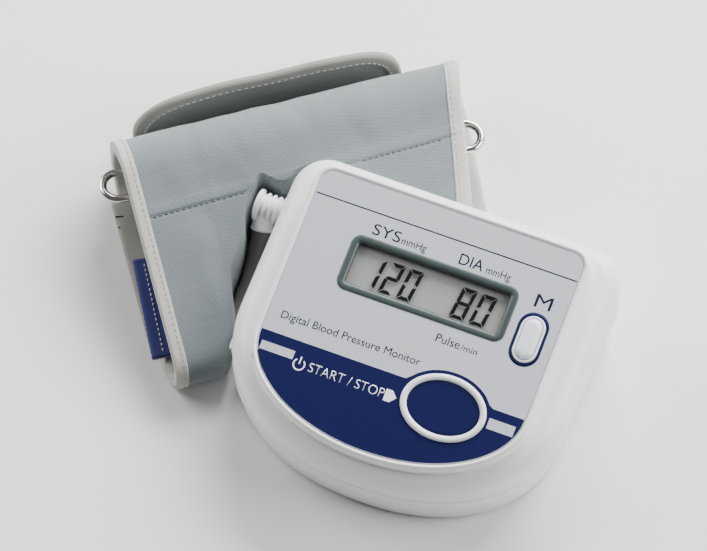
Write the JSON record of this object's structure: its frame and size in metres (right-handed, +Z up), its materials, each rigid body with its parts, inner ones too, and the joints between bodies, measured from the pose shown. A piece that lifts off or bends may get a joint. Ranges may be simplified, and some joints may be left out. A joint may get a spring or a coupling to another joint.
{
  "type": "upper arm blood pressure monitor",
  "caption": "Wedge-shaped desk blood pressure monitor with sloping display panel, oval start key, air plug and hose, and a folded upper arm cuff with a metal ring beside it.",
  "frame": {"origin": "middle of the footprint of the desk unit and the cuff together, on the table", "axes": "+Z up, -Y the desk unit's rounded front, +X its right side"},
  "size_m": [0.2064, 0.1825, 0.0586],
  "materials": {
    "casing_white": "satin moulded ABS",
    "casing_hidden": "moulded ABS",
    "label": "printed polycarbonate, satin",
    "bezel": "dark grey print",
    "window": "clear polycarbonate",
    "lcd": "liquid crystal glass",
    "black_plastic": "moulded",
    "zebra": "elastomer",
    "blue_key": "gloss moulded",
    "white_trim": "gloss moulded",
    "board": "glass epoxy with green solder mask",
    "steel": "zinc plated",
    "nickel": "nickel plated wire",
    "brass": "bright",
    "cell": "printed sleeve",
    "soft_rubber": "soft",
    "foot_rubber": "soft",
    "hose": "soft PVC, satin",
    "nylon": "woven nylon",
    "lining": "brushed loop knit",
    "wadding": "thin wadding",
    "bladder": "welded TPU film",
    "binding": "woven tape",
    "tab_blue": "printed nylon",
    "tab_white": "printed nylon"
  },
  "bodies": {
    "desk_unit": {"upper_case": "casing_white", "lower_case": "casing_white", "rubber_feet": "foot_rubber", "case_screws": "steel", "panel_label": "label", "lcd_bezel": "bezel", "lcd_window": "window", "lcd_glass": "lcd", "lcd_holder": "casing_hidden", "zebra_strips": "zebra", "start_ring": "white_trim", "memory_ring": "white_trim", "main_board": "board", "board_screws": "steel", "start_switch": "black_plastic", "memory_switch": "black_plastic", "buzzer": "black_plastic", "pressure_sensor": "black_plastic", "pump_motor": "steel", "pump_head": "black_plastic", "release_valve": "steel", "air_manifold": "casing_hidden", "inner_hoses": "soft_rubber", "air_socket": "casing_hidden", "socket_seal": "soft_rubber", "battery_cells": "cell", "battery_contacts": "steel"},
    "battery_cover": {"battery_cover": "casing_white"},
    "start_button": {"start_button": "blue_key"},
    "start_plunger": {"start_plunger": "black_plastic"},
    "memory_button": {"memory_button": "white_trim"},
    "memory_plunger": {"memory_plunger": "black_plastic"},
    "pump_shaft": {"pump_shaft": "steel"},
    "valve_plunger": {"valve_plunger": "steel"},
    "cuff_set": {"air_plug": "casing_white", "air_hose": "hose", "cuff_outer_fabric": "nylon", "air_bladder": "bladder", "cuff_padding": "wadding", "cuff_inner_fabric": "lining", "cuff_binding_left": "binding", "cuff_binding_right": "binding", "cuff_tail": "lining", "tail_binding": "binding", "ring_sleeve": "nylon", "artery_mark": "tab_blue", "size_label": "tab_white"},
    "cuff_ring": {"cuff_ring": "nickel"}
  },
  "joints": [
    {"name": "start_press", "type": "slide", "parent": "desk_unit", "child": "start_button", "axis": [0, 0.2233, -0.9748], "range_m": [0, 0.0005], "stiffness_N_per_m": 3000},
    {"name": "start_plunger_press", "type": "slide", "parent": "desk_unit", "child": "start_plunger", "axis": [0, 0.2233, -0.9748], "range_m": [0, 0.0005]},
    {"name": "memory_press", "type": "slide", "parent": "desk_unit", "child": "memory_button", "axis": [0, 0.2233, -0.9748], "range_m": [0, 0.0005], "stiffness_N_per_m": 3000},
    {"name": "memory_plunger_press", "type": "slide", "parent": "desk_unit", "child": "memory_plunger", "axis": [0, 0.2233, -0.9748], "range_m": [0, 0.0005]},
    {"name": "battery_cover_slide", "type": "slide", "parent": "desk_unit", "child": "battery_cover", "axis": [0, 1, 0], "range_m": [0, 0.005]},
    {"name": "pump_spin", "type": "hinge", "parent": "desk_unit", "child": "pump_shaft", "pos_m": [0.0177, -0.06175, 0.0155], "axis": [1, 0, 0], "continuous": true},
    {"name": "valve_lift", "type": "slide", "parent": "desk_unit", "child": "valve_plunger", "axis": [0, 0, -1], "range_m": [0, 0.0015], "stiffness_N_per_m": 400},
    {"name": "plug_pull", "type": "slide", "parent": "desk_unit", "child": "cuff_set", "axis": [-1, 0, 0], "range_m": [0, 0.025]},
    {"name": "ring_swing", "type": "hinge", "parent": "cuff_set", "child": "cuff_ring", "pos_m": [-0.03846, 0.03382, 0.0188], "axis": [0.8599, 0.5105, 0], "range_deg": [-18, 18]}
  ],
  "couplings": [
    {"joint": "start_plunger_press", "follows": "start_press", "ratio": 1},
    {"joint": "memory_plunger_press", "follows": "memory_press", "ratio": 1}
  ]
}
